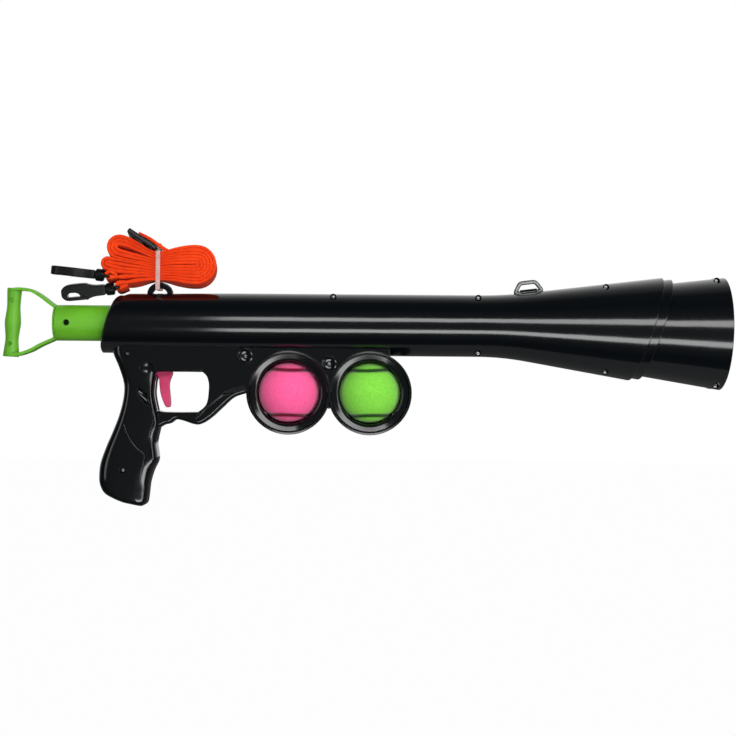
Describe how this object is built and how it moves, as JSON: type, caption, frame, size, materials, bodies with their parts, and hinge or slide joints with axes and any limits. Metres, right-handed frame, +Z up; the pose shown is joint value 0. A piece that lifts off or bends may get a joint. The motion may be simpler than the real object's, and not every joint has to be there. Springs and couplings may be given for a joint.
{
  "type": "dog ball thrower",
  "caption": "Pistol-grip ball launcher with a spring plunger pulled by a rear D-handle, a flared muzzle, under-barrel rings for spare balls and a folded carry strap.",
  "frame": {"origin": "centre of the pistol grip, on the split plane of the two shells", "axes": "+X toward the muzzle, +Z up, -Y the side with the screw heads"},
  "size_m": [0.7392, 0.1174, 0.2832],
  "materials": {
    "black_gloss": "gloss moulded nylon",
    "green": "satin moulded",
    "pink": "satin moulded",
    "pink_felt": "felted ball cover",
    "green_felt": "felted ball cover",
    "orange_web": "woven webbing",
    "clear_tie": "translucent tie",
    "steel": "plain steel",
    "rubber": "moulded rubber",
    "hook_black": "satin moulded"
  },
  "bodies": {
    "frame_body": {"body_shell_near": "black_gloss", "body_shell_far": "black_gloss", "muzzle_band": "black_gloss", "bell_near": "black_gloss", "bell_far": "black_gloss", "rear_sling_loop": "black_gloss", "body_screw_1": "steel", "body_screw_2": "steel", "body_screw_3": "steel", "body_screw_4": "steel", "body_screw_5": "steel", "body_screw_6": "steel", "body_screw_7": "steel", "body_screw_8": "steel", "body_screw_9": "steel", "bell_screw_1": "steel", "bell_screw_2": "steel", "rear_bush": "rubber", "spring_seat": "rubber", "main_spring": "steel", "trigger_pin": "steel", "trigger_spring": "steel", "sear_spring": "steel", "strap": "orange_web", "strap_tail": "orange_web", "strap_tie": "clear_tie", "strap_slide": "hook_black", "upper_swivel_eye": "steel", "lower_swivel_eye": "steel"},
    "plunger": {"pull_tube": "green", "d_handle": "green", "handle_screw": "steel", "piston_head": "green", "bumper_ring": "rubber", "piston_pad": "rubber"},
    "trigger_lever": {"trigger": "pink"},
    "sear_block": {"sear": "steel"},
    "spare_ball_pink": {"ball_pink": "pink_felt"},
    "spare_ball_green": {"ball_green": "green_felt"},
    "sling_loop": {"front_sling_loop": "steel"},
    "upper_hook": {"upper_hook_body": "hook_black"},
    "upper_gate": {"upper_hook_gate": "hook_black"},
    "lower_hook": {"lower_hook_body": "hook_black"},
    "lower_gate": {"lower_hook_gate": "hook_black"}
  },
  "joints": [
    {"name": "plunger_pull", "type": "slide", "parent": "frame_body", "child": "plunger", "axis": [-1, 0, 0], "range_m": [0, 0.15], "stiffness_N_per_m": 250, "springref_m": -0.06, "deforming": ["main_spring"]},
    {"name": "trigger_squeeze", "type": "hinge", "parent": "frame_body", "child": "trigger_lever", "pos_m": [0.0215, 0, 0.069], "axis": [0, 1, 0], "range_deg": [0, 8], "stiffness_Nm_per_rad": 1.5, "springref_deg": -8.59, "deforming": ["trigger_spring"]},
    {"name": "sear_drop", "type": "slide", "parent": "frame_body", "child": "sear_block", "axis": [0, 0, -1], "range_m": [0, 0.0034], "stiffness_N_per_m": 15, "springref_m": -0.001, "deforming": ["sear_spring"]},
    {"name": "pink_ball_out", "type": "slide", "parent": "frame_body", "child": "spare_ball_pink", "axis": [0, -1, 0], "range_m": [0, 0.07]},
    {"name": "green_ball_out", "type": "slide", "parent": "frame_body", "child": "spare_ball_green", "axis": [0, -1, 0], "range_m": [0, 0.07]},
    {"name": "sling_loop_swing", "type": "hinge", "parent": "frame_body", "child": "sling_loop", "pos_m": [0.41, 0, 0.15024], "axis": [0.9929, 0, 0.1189], "range_deg": [-55, 55]},
    {"name": "upper_hook_swivel", "type": "hinge", "parent": "frame_body", "child": "upper_hook", "pos_m": [-0.0313, 0, 0.1645], "axis": [-0.9949, 0, 0.1011], "continuous": true},
    {"name": "upper_gate_press", "type": "hinge", "parent": "upper_hook", "child": "upper_gate", "pos_m": [-0.05518, 0.0062, 0.16692], "axis": [0.1011, 0, 0.9949], "range_deg": [0, 20], "stiffness_Nm_per_rad": 0.02, "springref_deg": -20.05},
    {"name": "lower_hook_swivel", "type": "hinge", "parent": "frame_body", "child": "lower_hook", "pos_m": [-0.0205, 0, 0.1502], "axis": [-0.9949, 0, -0.1011], "continuous": true},
    {"name": "lower_gate_press", "type": "hinge", "parent": "lower_hook", "child": "lower_gate", "pos_m": [-0.04376, 0.00129, 0.14174], "axis": [-0.0211, 0.978, 0.2074], "range_deg": [0, 20], "stiffness_Nm_per_rad": 0.02, "springref_deg": -20.05}
  ],
  "couplings": [
    {"joint": "sear_drop", "follows": "trigger_squeeze", "m_per_rad": 0.0226}
  ]
}
